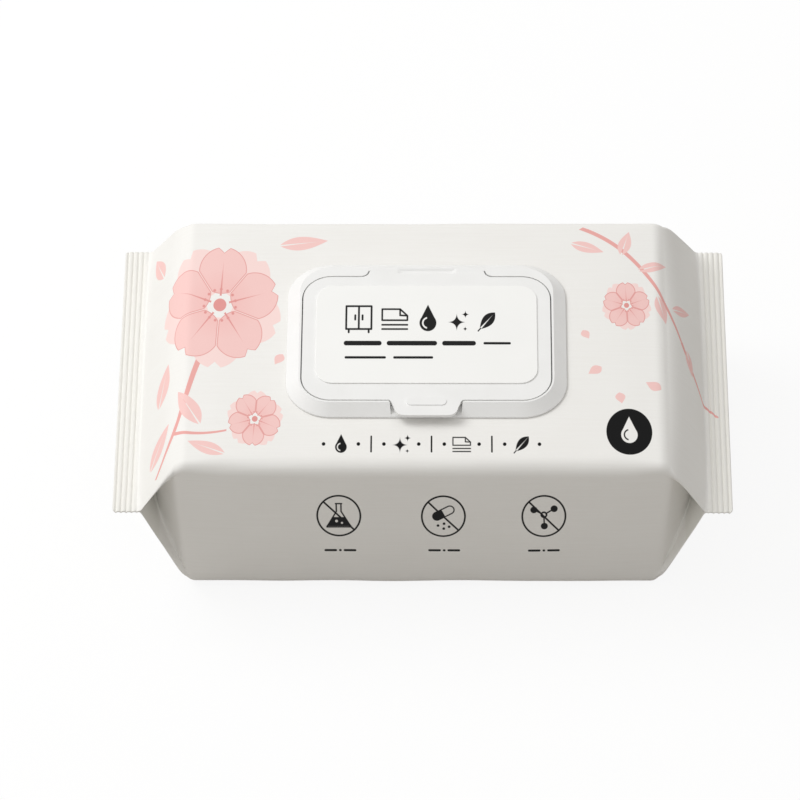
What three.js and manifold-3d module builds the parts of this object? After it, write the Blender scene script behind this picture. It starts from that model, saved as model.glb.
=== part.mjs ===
// Wet wipes pack: a film pouch round a block of folded wipes, with a crimped seal at each end,
// and a moulded dispenser on top whose flip lid swings back on a living hinge.
// Millimetres, +Z up. X runs along the pack, -Y is the front. The origin is the middle of the
// footprint, on the surface that the pack lies on.
import * as THREE from "three";
import { mergeVertices } from "three/addons/utils/BufferGeometryUtils.js";
import { ConvexGeometry } from "three/addons/geometries/ConvexGeometry.js";
import Module from "manifold-3d";

const wasm = await Module();
wasm.setup();

// Driving dimensions of the film pouch
const pouchDepth = 119; // front to back
const pouchHeight = 68.5;
const topLength = 175; // between the soft edges of the top panel
const bottomLength = 172;
const longEdgeRadius = 6; // where the top and bottom panels turn into the sides
const shoulderReach = 5; // softening where they turn into the end slopes
const finHeight = 46.5; // the end seals lie above half height
const finInner = 101; // where a seal starts, from the middle of the pack
const finOuter = 111; // the cut edge of the seal
const finWidth = 124; // front to back, a little wider than the pouch
const finThickness = 1;
const finCornerRadius = 1.2;
const crimpCount = 5;
const crimpDepth = 0.25;
const flapThickness = 0.9; // doubled film over and under each tucked gusset
const backSeamWidth = 14; // the back seam lies folded flat along the underside
const seamGroove = 0.3;
const gussetDepth = (pouchDepth + pouchHeight - finWidth) / 2; // side film tucked in at a seal

// Driving dimensions of the dispenser frame, with z = 0 on the film and y = 0 at its middle
const dispenserX = 1.3; // it is glued on a little right of the middle
const dispenserY = -0.5;
const glueLayer = 0.2;
const frameLength = 101;
const frameDepth = 72.3;
const frameRadius = 16.25;
const frameHeight = 4;
const footHeight = 0.6; // upright edge below the sloping skirt
const rimLength = 92; // the flat top of the skirt
const rimDepth = 64.2;
const rimRadius = 11.8;
const shellWall = 1;
const windowLength = 64;
const windowDepth = 32;
const windowRadius = 13;
const collarTop = 2.5;
const notchRoot = 13.8; // half the gap left for the thumb tab at the top of the skirt
const notchFoot = 12.3; // and at its foot

// Driving dimensions of the lid
const lidHalfLength = 44.8;
const lidFront = -31;
const lidBack = 27.4;
const lidRadius = 10.5;
const lidThickness = 1.1;
const lidClearance = 0.45;
const rimWall = 1.1;
const rimBottom = 1.3;
const ringGap = 0.4; // between the ring under the lid and the collar
const thumbTabRoot = 13.4; // half the thumb tab's width where it leaves the lid
const thumbTabSide = 11.5; // half its width between its round corners
const thumbTabTip = 7.4; // half the straight part of its tip
const thumbTabReach = 7.2;
const thumbTabCorner = 3.8;
const gripBarLength = 14.4;
const gripBarDepth = 3.6;
const gripBarHeight = 0.35;
const gripBarY = -31.8;

// Driving dimensions of the living hinge: two webs in the top surface with a slot between them
const hingeY = 30.25;
const hingeTabRoot = 23.9; // half the hinge tab's width at the lid
const hingeTabEnd = 20.8; // half its width at the hinge line
const hingeGap = 0.3;
const hingeSlotLength = 20.8;
const hingeSlotWidth = 1.1;

// Driving dimensions of the labels
const labelLength = 80;
const labelDepth = 46.4;
const labelRadius = 6.5;
const labelThickness = 0.4;
const labelY = -0.35;
const sealLength = 50;
const sealDepth = 22;
const sealThickness = 0.25;
const pullTabLength = 5.5;
const pullTabWidth = 12;
const adhesive = 0.05;

const arcSegments = 10;
const cutMargin = 2;
const endCap = 0.01; // keeps a fully round end from closing to a point
const quarterTurn = Math.PI / 2;

// A closed mesh as a solid that can be joined and cut
function solid(geometry) {
  const bare = geometry.index ? geometry.toNonIndexed() : geometry.clone();
  bare.deleteAttribute("normal");
  bare.deleteAttribute("uv");
  const merged = mergeVertices(bare, 1e-4);
  return new wasm.Manifold(
    new wasm.Mesh({
      numProp: 3,
      vertProperties: merged.attributes.position.array,
      triVerts: new Uint32Array(merged.index.array),
    }),
  );
}

// The solid back as a geometry for a mesh
function geometryOf(made) {
  const { numProp, numVert, vertProperties, triVerts } = made.getMesh();
  const places = new Float32Array(numVert * 3);
  for (let i = 0; i < numVert; i++) {
    places.set(vertProperties.subarray(i * numProp, i * numProp + 3), i * 3);
  }
  const geometry = new THREE.BufferGeometry();
  geometry.setAttribute("position", new THREE.BufferAttribute(places, 3));
  geometry.setIndex(new THREE.BufferAttribute(triVerts, 1));
  return geometry;
}

// An outline in the XY plane raised from z = low to z = high
function raised(shape, low, high) {
  const geometry = new THREE.ExtrudeGeometry(shape, {
    depth: high - low,
    bevelEnabled: false,
    curveSegments: arcSegments,
  });
  return geometry.translate(0, 0, low);
}

const xAxis = new THREE.Vector3(1, 0, 0);
const yAxis = new THREE.Vector3(0, 1, 0);
const zAxis = new THREE.Vector3(0, 0, 1);
const minusY = new THREE.Vector3(0, -1, 0);

// An outline drawn in Y and Z, pushed along X over a length centred on x = 0
function alongX(shape, length) {
  const turn = new THREE.Matrix4().makeBasis(yAxis, zAxis, xAxis);
  return raised(shape, -length / 2, length / 2).applyMatrix4(turn);
}

// An outline drawn in X and Z, pushed along Y over a width centred on y = 0
function alongY(shape, width) {
  const turn = new THREE.Matrix4().makeBasis(xAxis, zAxis, minusY);
  return raised(shape, -width / 2, width / 2).applyMatrix4(turn);
}

// A rectangle with round corners, from its lowest to its highest corner
function roundedRectangle(left, bottom, right, top, radius) {
  const shape = new THREE.Shape();
  shape.absarc(right - radius, bottom + radius, radius, -quarterTurn, 0, false);
  shape.absarc(right - radius, top - radius, radius, 0, quarterTurn, false);
  shape.absarc(left + radius, top - radius, radius, quarterTurn, Math.PI, false);
  shape.absarc(left + radius, bottom + radius, radius, Math.PI, 3 * quarterTurn, false);
  shape.closePath();
  return shape;
}

function centredRectangle(length, depth, radius) {
  return roundedRectangle(-length / 2, -depth / 2, length / 2, depth / 2, radius);
}

// A closed outline through corners given as x, y and how far each corner is softened
function softPolygon(corners) {
  const shape = new THREE.Shape();
  const place = (i) => {
    const [x, y] = corners[(i + corners.length) % corners.length];
    return new THREE.Vector2(x, y);
  };
  corners.forEach(([x, y, reach], i) => {
    const start = place(i).add(place(i - 1).sub(place(i)).setLength(reach));
    const end = place(i).add(place(i + 1).sub(place(i)).setLength(reach));
    if (i === 0) {
      shape.moveTo(start.x, start.y);
    } else {
      shape.lineTo(start.x, start.y);
    }
    shape.quadraticCurveTo(x, y, end.x, end.y);
  });
  shape.closePath();
  return shape;
}

// The side view of the pouch, from seal to seal
function pouchSideView() {
  const top = topLength / 2;
  const bottom = bottomLength / 2;
  const half = finThickness / 2;
  const sharp = finThickness / 4;
  return softPolygon([
    [-bottom, 0, shoulderReach],
    [bottom, 0, shoulderReach],
    [finInner, finHeight - half, sharp],
    [finInner, finHeight + half, sharp],
    [top, pouchHeight, shoulderReach],
    [-top, pouchHeight, shoulderReach],
    [-finInner, finHeight + half, sharp],
    [-finInner, finHeight - half, sharp],
  ]);
}

// The block between the seals: a tube with round long edges, cut to the side view
function pouchBody() {
  const half = pouchDepth / 2;
  const section = roundedRectangle(-half, 0, half, pouchHeight, longEdgeRadius);
  const tube = alongX(section, 2 * finInner + cutMargin);
  const side = alongY(pouchSideView(), pouchDepth + cutMargin);
  return solid(tube).intersect(solid(side));
}

// The hollow left where the side film is tucked in between the end slopes. A flap of doubled
// film stays above and below it, and its inner wall runs from the upright edge of the block
// to the tucked fold at the seal.
function gussetHollow(end, side) {
  const start = topLength / 2 - shoulderReach / 2;
  const run = finInner - start;
  const upper = (pouchHeight - finHeight) / run;
  const lower = finHeight / run;
  const high = pouchHeight - flapThickness * Math.hypot(1, upper);
  const low = flapThickness * Math.hypot(1, lower);
  const reach = (high - low) / (upper + lower);
  const tipHeight = low + reach * lower;
  const wall = pouchDepth / 2;
  const outside = wall + cutMargin;
  const tuckedIn = wall - (gussetDepth * reach) / run;
  const corner = (along, across, up) => new THREE.Vector3(end * along, side * across, up);
  return solid(
    new ConvexGeometry([
      corner(start, outside, high),
      corner(start, outside, low),
      corner(start + reach, outside, tipHeight),
      corner(start, wall, high),
      corner(start, wall, low),
      corner(start + reach, tuckedIn, tipHeight),
    ]),
  );
}

// An end seal: a flat strip of fused film with crimp lines along its length
function endSeal(end) {
  const overlap = 1.5;
  const length = finOuter - finInner + overlap;
  const middle = finOuter - length / 2;
  const half = finThickness / 2;
  const plan = centredRectangle(length, finWidth, finCornerRadius);
  const blank = raised(plan, finHeight - half, finHeight + half);
  let strip = solid(blank.translate(end * middle, 0, 0));
  const pitch = (finOuter - finInner) / crimpCount;
  for (let i = 0; i < crimpCount; i++) {
    const across = end * (finInner + pitch * (i + 0.5));
    for (const face of [-1, 1]) {
      const groove = new THREE.CylinderGeometry(crimpDepth, crimpDepth, finWidth + cutMargin, 8);
      strip = strip.subtract(solid(groove.translate(across, 0, finHeight + face * half)));
    }
  }
  return strip;
}

// The two edges of the back seam, as shallow grooves in the underside
function seamEdges() {
  const length = bottomLength - 4 * shoulderReach;
  const edge = (y) => solid(new THREE.BoxGeometry(length, seamGroove, seamGroove).translate(0, y, 0));
  return edge(-backSeamWidth / 2).add(edge(backSeamWidth / 2));
}

function filmPouch() {
  let body = pouchBody();
  for (const end of [-1, 1]) {
    for (const side of [-1, 1]) {
      body = body.subtract(gussetHollow(end, side));
    }
    body = body.add(endSeal(end));
  }
  return geometryOf(body.subtract(seamEdges()));
}

// The lid seen from above, grown all round, with its thumb tab in front and its hinge tab
// behind, which ends straight at y = hingeEnd
function lidOutline(grow, hingeEnd) {
  const half = lidHalfLength + grow;
  const front = lidFront - grow;
  const back = lidBack + grow;
  const radius = lidRadius + grow;
  const tip = front - thumbTabReach;
  const side = thumbTabSide + grow;
  const root = thumbTabRoot + grow;
  const hingeRoot = hingeTabRoot + grow;
  const hingeSide = hingeTabEnd + grow;
  const bend = 1.8; // where the thumb tab's side meets the curve into the lid
  const lean = 0.6; // its sides lean out towards the lid
  const shape = new THREE.Shape();
  shape.moveTo(-thumbTabTip, tip);
  shape.lineTo(thumbTabTip, tip);
  shape.quadraticCurveTo(side - lean, tip, side, tip + thumbTabCorner);
  shape.lineTo(side + lean, front - bend);
  shape.quadraticCurveTo(side + 2 * lean, front, root, front);
  shape.lineTo(half - radius, front);
  shape.absarc(half - radius, front + radius, radius, -quarterTurn, 0, false);
  shape.absarc(half - radius, back - radius, radius, 0, quarterTurn, false);
  shape.lineTo(hingeRoot, back);
  shape.quadraticCurveTo(hingeSide + lean, back, hingeSide, hingeEnd);
  shape.lineTo(-hingeSide, hingeEnd);
  shape.quadraticCurveTo(-hingeSide - lean, back, -hingeRoot, back);
  shape.lineTo(radius - half, back);
  shape.absarc(radius - half, back - radius, radius, quarterTurn, Math.PI, false);
  shape.absarc(radius - half, front + radius, radius, Math.PI, 3 * quarterTurn, false);
  shape.lineTo(-root, front);
  shape.quadraticCurveTo(-side - 2 * lean, front, -side - lean, front - bend);
  shape.lineTo(-side, tip + thumbTabCorner);
  shape.quadraticCurveTo(lean - side, tip, -thumbTabTip, tip);
  return shape;
}

// The slot on the hinge line, half in the lid and half in the frame
function hingeSlot() {
  const shape = centredRectangle(hingeSlotLength, hingeSlotWidth, hingeSlotWidth / 2 - endCap);
  return solid(raised(shape, shellWall, frameHeight + cutMargin).translate(0, hingeY, 0));
}

// The frame's outer form, or the same form set in by a wall thickness: an upright foot and a
// sloping skirt up to the flat rim
function skirtedSlab(inset, bottom) {
  const ring = (length, depth, radius, z) =>
    centredRectangle(length - 2 * inset, depth - 2 * inset, radius - inset)
      .getPoints(arcSegments)
      .map((point) => new THREE.Vector3(point.x, point.y, z));
  return solid(
    new ConvexGeometry([
      ...ring(frameLength, frameDepth, frameRadius, bottom),
      ...ring(frameLength, frameDepth, frameRadius, footHeight),
      ...ring(rimLength, rimDepth, rimRadius, frameHeight - inset),
    ]),
  );
}

// The gap in the front of the skirt that leaves room for the thumb tab
function thumbNotch() {
  const inside = lidFront + cutMargin;
  const foot = -frameDepth / 2 - cutMargin;
  const bend = 1.5; // where the notch's side meets the curve into the skirt
  const lean = 0.8;
  const shape = new THREE.Shape();
  shape.moveTo(-notchFoot, foot);
  shape.lineTo(notchFoot, foot);
  shape.lineTo(notchRoot - lean, lidFront - bend);
  shape.quadraticCurveTo(notchRoot - lean, lidFront, notchRoot, lidFront);
  shape.lineTo(notchRoot, inside);
  shape.lineTo(-notchRoot, inside);
  shape.lineTo(-notchRoot, lidFront);
  shape.quadraticCurveTo(lean - notchRoot, lidFront, lean - notchRoot, lidFront - bend);
  shape.closePath();
  return shape;
}

// The window's outline grown by a distance
function aroundWindow(grow) {
  return centredRectangle(windowLength + 2 * grow, windowDepth + 2 * grow, windowRadius + grow);
}

// The dispenser's base: a hollow skirt round a pocket for the lid, with a collared window
function lidFrame() {
  const hingeEnd = hingeY + hingeGap / 2;
  const above = frameHeight + cutMargin;
  const pocket = raised(lidOutline(lidClearance, hingeEnd), shellWall, above);
  const pocketWall = raised(
    lidOutline(lidClearance + shellWall, hingeEnd + shellWall),
    -2 * cutMargin,
    frameHeight,
  );
  const underSkirt = skirtedSlab(shellWall, -cutMargin).subtract(solid(pocketWall));
  return geometryOf(
    skirtedSlab(0, 0)
      .subtract(underSkirt)
      .subtract(solid(pocket))
      .subtract(solid(raised(thumbNotch(), shellWall, above)))
      .subtract(hingeSlot())
      .add(solid(raised(aroundWindow(shellWall), shellWall / 2, collarTop)))
      .subtract(solid(raised(aroundWindow(0), -cutMargin, frameHeight))),
  );
}

// A band that follows an outline: the outer shape less the inner one
function band(outer, inner, low, high) {
  const core = solid(raised(inner, low - cutMargin, high + cutMargin));
  return solid(raised(outer, low, high)).subtract(core);
}

// The lid's edge without its tabs, set in by a distance
function lidEdge(inset) {
  return roundedRectangle(
    inset - lidHalfLength,
    lidFront + inset,
    lidHalfLength - inset,
    lidBack - inset,
    lidRadius - inset,
  );
}

// The flip lid, shut: a plate with a rim that drops into the frame, an inner ring that closes
// over the collar, a grip bar on the thumb tab, and its half of the hinge slot
function flipLid() {
  const underside = frameHeight - lidThickness;
  const intoPlate = underside + lidThickness / 2;
  const ringInner = shellWall + ringGap;
  const plate = raised(lidOutline(0, hingeY - hingeGap / 2), underside, frameHeight);
  const rim = band(lidEdge(0), lidEdge(rimWall), rimBottom, intoPlate);
  const ring = band(
    aroundWindow(ringInner + rimWall),
    aroundWindow(ringInner),
    rimBottom,
    intoPlate,
  );
  const bar = centredRectangle(gripBarLength, gripBarDepth, gripBarDepth / 2 - endCap);
  const gripBar = raised(bar, intoPlate, frameHeight + gripBarHeight).translate(0, gripBarY, 0);
  return geometryOf(
    solid(plate).add(rim).add(ring).add(solid(gripBar)).subtract(hingeSlot()),
  );
}

function lidLabel() {
  const outline = centredRectangle(labelLength, labelDepth, labelRadius);
  const low = frameHeight + adhesive;
  return raised(outline, low, low + labelThickness).translate(0, labelY, 0);
}

// The peel-off seal over the die-cut opening in the film, with its pull tab at the right
function peelSeal() {
  const low = adhesive;
  const high = low + sealThickness;
  const patch = centredRectangle(sealLength, sealDepth, sealDepth / 2 - endCap);
  const tab = roundedRectangle(
    sealLength / 2 - sealDepth / 2,
    -pullTabWidth / 2,
    sealLength / 2 + pullTabLength,
    pullTabWidth / 2,
    pullTabWidth / 3,
  );
  return geometryOf(solid(raised(patch, low, high)).add(solid(raised(tab, low, high))));
}

function plastic(color, roughness) {
  return new THREE.MeshStandardMaterial({ color, roughness, metalness: 0 });
}

function named(name, geometry, material) {
  const mesh = new THREE.Mesh(geometry, material);
  mesh.name = name;
  return mesh;
}

const film = plastic(0xf0efeb, 0.55);
const moulding = plastic(0xf4f4f3, 0.35);
const labelStock = plastic(0xf2f2f0, 0.45);
const sealStock = plastic(0xe3e6ea, 0.3);

const dispenser = new THREE.Group();
dispenser.position.set(dispenserX, dispenserY, pouchHeight + glueLayer);
dispenser.add(named("lid_frame", lidFrame(), moulding));

// The lid's group turns about the hinge line
const lid = new THREE.Group();
lid.position.set(0, hingeY, frameHeight);
for (const piece of [
  named("flip_lid", flipLid(), moulding),
  named("lid_label", lidLabel(), labelStock),
]) {
  piece.position.set(0, -hingeY, -frameHeight);
  lid.add(piece);
}
dispenser.add(lid);

const seal = named("peel_seal", peelSeal(), sealStock);
seal.position.set(dispenserX, dispenserY, pouchHeight);

const pack = new THREE.Group();
pack.add(named("film_pouch", filmPouch(), film));
pack.add(dispenser);
pack.add(seal);

export default pack;
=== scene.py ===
import math

import bmesh
import bpy
from mathutils import Matrix, Vector, noise
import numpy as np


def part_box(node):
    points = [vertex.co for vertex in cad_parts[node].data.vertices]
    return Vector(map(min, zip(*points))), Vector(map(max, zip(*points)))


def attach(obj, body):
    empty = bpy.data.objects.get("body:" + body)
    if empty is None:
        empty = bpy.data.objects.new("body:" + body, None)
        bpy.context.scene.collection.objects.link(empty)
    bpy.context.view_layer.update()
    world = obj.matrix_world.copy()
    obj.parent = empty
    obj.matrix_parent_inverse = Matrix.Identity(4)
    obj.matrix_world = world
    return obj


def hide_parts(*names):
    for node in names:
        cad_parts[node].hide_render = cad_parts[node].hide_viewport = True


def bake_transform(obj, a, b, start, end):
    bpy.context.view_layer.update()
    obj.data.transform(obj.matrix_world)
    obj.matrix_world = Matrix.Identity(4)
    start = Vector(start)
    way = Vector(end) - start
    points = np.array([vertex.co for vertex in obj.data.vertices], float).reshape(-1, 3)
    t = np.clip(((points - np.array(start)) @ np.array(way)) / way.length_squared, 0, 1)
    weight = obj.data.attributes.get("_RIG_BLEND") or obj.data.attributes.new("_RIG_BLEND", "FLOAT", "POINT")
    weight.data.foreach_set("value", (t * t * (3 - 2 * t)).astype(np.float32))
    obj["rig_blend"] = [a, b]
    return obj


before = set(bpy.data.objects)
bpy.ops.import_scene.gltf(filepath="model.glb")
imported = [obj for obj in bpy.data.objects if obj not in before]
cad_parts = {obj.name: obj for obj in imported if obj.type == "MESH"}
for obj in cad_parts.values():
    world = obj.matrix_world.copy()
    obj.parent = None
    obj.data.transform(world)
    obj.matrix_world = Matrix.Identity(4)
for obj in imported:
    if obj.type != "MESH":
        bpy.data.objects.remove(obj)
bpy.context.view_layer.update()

mm = 0.001
roundedAngle = 30  # degrees, edges sharper than this are rounded
shadedAngle = 40  # edges sharper than this stay crisp
world = bpy.context.scene.world or bpy.data.worlds.new("studio")
bpy.context.scene.world = world
bpy.context.scene.view_settings.view_transform = "Standard"


# Camera, at the viewing angle of the photograph
cameraView = {
    "lens": 243.3,
    "sensor": 36,
    "distance": 1982.4,  # mm, to the target
    "target": (-8.51, 0, 34.97),
    "azimuth": 0.811,  # degrees
    "elevation": 50,
    "roll": -0.552,
}


def makeCamera(view):
    camera = bpy.data.cameras.new("photo_camera")
    camera.lens = view["lens"]
    camera.sensor_width = view["sensor"]
    holder = bpy.data.objects.new("photo_camera", camera)
    around = math.radians(view["azimuth"])
    above = math.radians(view["elevation"])
    back = Vector((
        math.sin(around) * math.cos(above),
        -math.cos(around) * math.cos(above),
        math.sin(above),
    ))
    spot = (Vector(view["target"]) + back * view["distance"]) * mm
    turn = (-back).to_track_quat("-Z", "Y").to_matrix().to_4x4()
    roll = Matrix.Rotation(math.radians(view["roll"]), 4, "Z")
    holder.matrix_world = Matrix.Translation(spot) @ turn @ roll
    bpy.context.scene.collection.objects.link(holder)
    bpy.context.scene.camera = holder


makeCamera(cameraView)
print("camera placed")


# Small tools for shader nodes
def feed(tree, value, socket):
    if isinstance(value, bpy.types.NodeSocket):
        tree.links.new(value, socket)
    else:
        socket.default_value = value


def calc(tree, operation, *values, clamp=False):
    node = tree.nodes.new("ShaderNodeMath")
    node.operation = operation
    node.use_clamp = clamp
    for value, socket in zip(values, node.inputs):
        feed(tree, value, socket)
    return node.outputs[0]


def measure(tree, x, y):  # distance from 0, 0
    return calc(tree, "SQRT", calc(tree, "MULTIPLY_ADD", x, x, calc(tree, "MULTIPLY", y, y)))


def split(tree, vector):
    node = tree.nodes.new("ShaderNodeSeparateXYZ")
    feed(tree, vector, node.inputs[0])
    return node.outputs[:]


def combine(tree, x, y):
    node = tree.nodes.new("ShaderNodeCombineXYZ")
    feed(tree, x, node.inputs[0])
    feed(tree, y, node.inputs[1])
    return node.outputs[0]


def place(tree, point, centre, turn=0.0, size=(1, 1)):
    # the point as seen from a motif with this middle, turn in degrees and size
    cos, sin = math.cos(math.radians(turn)), math.sin(math.radians(turn))

    def across(forX, forY, span):
        found = -(forX * centre[0] + forY * centre[1]) / span
        for value, share in zip(point, (forX, forY)):
            if abs(share) > 1e-9:
                found = calc(tree, "MULTIPLY_ADD", value, share / span, found)
        return found
    return across(cos, sin, size[0]), across(-sin, cos, size[1])


def blendColours(tree, share, under, over):  # through the colour sockets of the node
    node = tree.nodes.new("ShaderNodeMix")
    node.data_type = "RGBA"
    feed(tree, share, node.inputs[0])
    feed(tree, under, node.inputs[6])
    feed(tree, over, node.inputs[7])
    return node.outputs[2]


def highest(tree, masks):  # masks may come one by one, which keeps the shader small
    found = None
    for mask in masks:
        found = mask if found is None else calc(tree, "MAXIMUM", found, mask)
    return found


def collector(tree):  # gathers masks by kind while they are made
    kept = {}

    def keep(kind, mask):
        kept[kind] = highest(tree, (kept[kind], mask)) if kind in kept else mask
    return kept, keep


def startGroup(name, inputs, outputs):  # each input beside X and Y comes with its usual value
    tree = bpy.data.node_groups.new(name, "ShaderNodeTree")
    kind = "NodeSocketFloat"
    for label, value in {"X": 0.0, "Y": 0.0, **inputs}.items():
        tree.interface.new_socket(label, in_out="INPUT", socket_type=kind).default_value = value
    for label in outputs:
        tree.interface.new_socket(label, in_out="OUTPUT", socket_type=kind)
    return tree, tree.nodes.new("NodeGroupInput").outputs, tree.nodes.new("NodeGroupOutput").inputs


def useGroup(tree, group, point, **values):
    node = tree.nodes.new("ShaderNodeGroup")
    node.node_tree = group
    values["X"], values["Y"] = point
    for label, value in values.items():
        feed(tree, value, node.inputs[label])
    return node.outputs


def startMaterial(name):
    material = bpy.data.materials.new(name)
    material.use_nodes = True
    return material, material.node_tree, material.node_tree.nodes["Principled BSDF"]


def finishMaterial(tree, shader, finish, tone, shade, relief):
    tree.links.new(tone, shader.inputs["Base Color"])
    roughness = calc(tree, "MULTIPLY_ADD", shade, finish["roughnessSpread"], finish["roughness"])
    tree.links.new(roughness, shader.inputs["Roughness"])
    shader.inputs["Specular IOR Level"].default_value = finish["gloss"]
    bump = tree.nodes.new("ShaderNodeBump")
    bump.inputs["Strength"].default_value = finish["bumpStrength"]
    bump.inputs["Distance"].default_value = finish["bumpDepth"] * mm
    tree.links.new(relief, bump.inputs["Height"])
    tree.links.new(bump.outputs[0], shader.inputs["Normal"])


def mottle(tree, shade, start, contrast):  # spreads a shade that stays near 0.5 over 0 to 1
    return calc(tree, "MULTIPLY", calc(tree, "SUBTRACT", shade, start), contrast, clamp=True)


def greyed(level):  # the linear value of an 8 bit grey
    share = level / 255
    return ((share + 0.055) / 1.055) ** 2.4


def colour(red, green, blue):
    return (greyed(red), greyed(green), greyed(blue), 1)


# Studio: a pale floor, a sky that is brighter overhead, and one soft lamp from the back left
studio = {
    "skyOverhead": 0.82,
    "skyLow": 0.4,
    "skySlant": 0.28,  # how much dimmer the sky is on the right
    "skyTint": (1, 0.985, 0.965, 1),
    "floorShade": (0.555, 0.53, 0.492, 1),
    "floorSize": 3.0,  # m
    "floorDrop": 0.0001,  # m, so that the floor and the underside don't share a plane
    "whiteShare": 0.88,  # how much of the floor's look is plain white
    "lampFrom": (-0.6, 0.28, 0.75),
    "lampSize": 0.9,
    "lampLevel": 0.47,
    "lampDistance": 1.5,  # m
    "lampTint": (0.985, 0.995, 1),
}


def seenDirectly(tree):
    path = tree.nodes.new("ShaderNodeLightPath").outputs
    seen = calc(tree, "MAXIMUM", path["Is Camera Ray"], path["Is Glossy Ray"])
    return calc(tree, "MAXIMUM", seen, path["Is Transmission Ray"])


def makeSky(values):
    world.use_nodes = True
    tree = world.node_tree
    backdrop = tree.nodes["Background"]
    seen = seenDirectly(tree)
    axes = split(tree, tree.nodes.new("ShaderNodeTexCoord").outputs["Generated"])
    climb = calc(tree, "MAXIMUM", axes[2], 0)
    climb = calc(tree, "MULTIPLY", climb, values["skyOverhead"] - values["skyLow"])
    sky = calc(tree, "ADD", climb, values["skyLow"])
    onRight = calc(tree, "MAXIMUM", axes[0], 0)
    slant = calc(tree, "MULTIPLY_ADD", onRight, -values["skySlant"], 1)
    sky = calc(tree, "MULTIPLY", sky, slant)
    lit = calc(tree, "MULTIPLY", sky, calc(tree, "SUBTRACT", 1, seen))
    tree.links.new(calc(tree, "ADD", lit, seen), backdrop.inputs["Strength"])
    tint = blendColours(tree, seen, values["skyTint"], (1, 1, 1, 1))
    tree.links.new(tint, backdrop.inputs["Color"])


def makeFloor(values):
    bm = bmesh.new()
    bmesh.ops.create_grid(bm, x_segments=1, y_segments=1, size=values["floorSize"])
    mesh = bpy.data.meshes.new("floor")
    bm.to_mesh(mesh)
    bm.free()
    mesh.transform(Matrix.Translation((0, 0, -values["floorDrop"])))
    floor = bpy.data.objects.new("floor", mesh)
    bpy.context.scene.collection.objects.link(floor)
    material, tree, shader = startMaterial("pale_floor")
    tree.nodes.remove(shader)
    shaded = tree.nodes.new("ShaderNodeBsdfDiffuse")
    seen = seenDirectly(tree)
    feed(tree, blendColours(tree, seen, values["floorShade"], (1, 1, 1, 1)), shaded.inputs["Color"])
    plain = tree.nodes.new("ShaderNodeEmission")
    both = tree.nodes.new("ShaderNodeMixShader")
    share = calc(tree, "MULTIPLY", seen, values["whiteShare"])
    tree.links.new(share, both.inputs[0])
    tree.links.new(shaded.outputs[0], both.inputs[1])
    tree.links.new(plain.outputs[0], both.inputs[2])
    tree.links.new(both.outputs[0], tree.nodes["Material Output"].inputs["Surface"])
    mesh.materials.append(material)


def makeLamp(values):
    lamp = bpy.data.lights.new("soft_lamp", "AREA")
    lamp.shape = "DISK"
    lamp.size = values["lampSize"]
    lamp.color = values["lampTint"]
    lamp.energy = values["lampLevel"] * math.pi ** 2 * values["lampDistance"] ** 2
    holder = bpy.data.objects.new("soft_lamp", lamp)
    towards = Vector(values["lampFrom"]).normalized()
    turn = towards.to_track_quat("Z", "Y").to_matrix().to_4x4()
    holder.matrix_world = Matrix.Translation(towards * values["lampDistance"]) @ turn
    bpy.context.scene.collection.objects.link(holder)


makeSky(studio)
makeFloor(studio)
makeLamp(studio)
print("studio lit")


# Film pouch: one quarter is shaped from a grid, then mirrored
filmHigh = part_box("film_pouch")[1] / mm
pouch = {
    "height": filmHigh.z,
    "halfDepth": 59.5,
    "finHalfDepth": filmHigh.y,
    "topEnd": 88.2,  # where the top panel starts to slope
    "bottomEnd": 86.0,
    "finStart": 101.0,
    "finEnd": filmHigh.x,
    "finHeight": 46.5,
    "finHalfThickness": 0.32,
    "topRadius": 5.4,  # of the long edges, and where they reach the corners
    "topCornerRadius": 3.2,
    "bottomRadius": 5.8,
    "bottomCornerRadius": 4.8,
    "cornerFrom": 0.8,  # the station where the corners begin
    "cornerDrop": 0.5,  # how far the film draws in towards them
    "topSoftness": 4.2,
    "bottomSoftness": 3.0,
    "finSoftness": 0.7,
    "finCornerRadius": 1.4,
    "finEndRounding": 0.4,
    "cornerSoftness": 0.06,  # of the upright edges, as a share of the slope
    "foldShare": 0.16,  # the part of the slope over which the gusset folds flat
    "foldPuff": 0.35,  # how much shallower than the flat fold the gusset stays
    "foldSmoothing": 24,
    "foldStations": (0.97, 1.9),  # between which the fold is smoothed
    "frontSwell": 1.0,
    "slopeSwell": 1.3,
    "swellUp": 0.5,  # shares of it on the top panel, on the bottom panel and along the pack
    "swellDown": 0.3,
    "swellOut": 0.85,
    "endSwell": 1.0,  # how far the full pack pushes out over its end seals
    "crimpDepth": 0.5,
    "crimpWidth": 0.38,
    "crimpPitch": 1.9,
    "crimpCount": 5,
    "crimpFromEnd": 1.2,
    "seamHalfWidth": 7.0,
    "seamZone": 11.2,
    "seamRowShare": 4 / 7,  # of the bottom panel's rows lie in the seam's zone
    "seamGroove": 0.3,
    "grooveWidth": 0.7,
    "unevenness": 0.36,
    "unevenSize": 26.0,
    "mergeWithin": 0.004,
}
stationCounts = (34, 12, 32, 48)  # along the flat, before the shoulder, down the slope, on the fin
aroundCounts = (24, 8, 8, 20, 8, 8, 28)  # top, edge, flap, wall, flap, edge, bottom


def smooth(low, high, value):
    share = min(max((value - low) / (high - low), 0), 1)
    return share * share * (3 - 2 * share)


def softRamp(value, softness):  # 0, then a rounded corner, then the value itself
    if abs(value) >= softness:
        return max(value, 0)
    return (value + softness) ** 2 / (4 * softness)


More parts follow.
